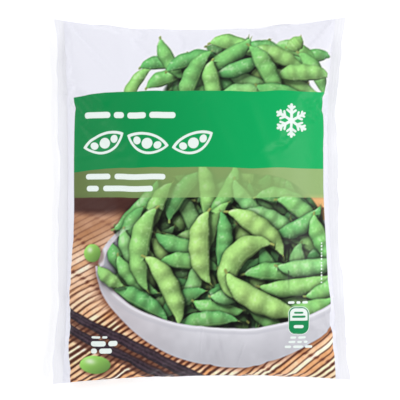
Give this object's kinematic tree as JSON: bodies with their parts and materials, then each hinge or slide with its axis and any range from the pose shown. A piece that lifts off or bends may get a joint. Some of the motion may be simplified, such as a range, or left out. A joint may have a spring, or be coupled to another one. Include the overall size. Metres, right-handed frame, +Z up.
{
  "type": "sealed bag of frozen edamame pods",
  "caption": "Filled plastic pillow bag of frozen edamame pods, crimped shut at both sides, with a fin seam down its back, lying flat.",
  "frame": {"origin": "on the ground, under the middle of the bag's box", "axes": "+Z up out of the printed front, +Y towards the printed front's upper fold, +X towards its right seal; the bag lies on its back"},
  "size_m": [0.216, 0.268, 0.0336],
  "materials": {
    "printed_film": "satin white film with a printed front",
    "pod_skin": "frosted, slightly downy green"
  },
  "bodies": {
    "root": {"bag_film": "printed_film", "pod_01": "pod_skin", "pod_02": "pod_skin", "pod_03": "pod_skin", "pod_04": "pod_skin", "pod_05": "pod_skin", "pod_06": "pod_skin", "pod_07": "pod_skin", "pod_08": "pod_skin", "pod_09": "pod_skin", "pod_10": "pod_skin", "pod_11": "pod_skin", "pod_12": "pod_skin", "pod_13": "pod_skin", "pod_14": "pod_skin", "pod_15": "pod_skin", "pod_16": "pod_skin", "pod_17": "pod_skin", "pod_18": "pod_skin", "pod_19": "pod_skin", "pod_20": "pod_skin", "pod_21": "pod_skin", "pod_22": "pod_skin", "pod_23": "pod_skin", "pod_24": "pod_skin", "pod_25": "pod_skin", "pod_26": "pod_skin", "pod_27": "pod_skin", "pod_28": "pod_skin", "pod_29": "pod_skin", "pod_30": "pod_skin", "pod_31": "pod_skin", "pod_32": "pod_skin", "pod_33": "pod_skin", "pod_34": "pod_skin", "pod_35": "pod_skin", "pod_36": "pod_skin", "pod_37": "pod_skin", "pod_38": "pod_skin", "pod_39": "pod_skin", "pod_40": "pod_skin", "pod_41": "pod_skin", "pod_42": "pod_skin", "pod_43": "pod_skin", "pod_44": "pod_skin", "pod_45": "pod_skin", "pod_46": "pod_skin", "pod_47": "pod_skin", "pod_48": "pod_skin", "pod_49": "pod_skin", "pod_50": "pod_skin", "pod_51": "pod_skin", "pod_52": "pod_skin", "pod_53": "pod_skin", "pod_54": "pod_skin", "pod_55": "pod_skin", "pod_56": "pod_skin", "pod_57": "pod_skin"}
  },
  "joints": []
}
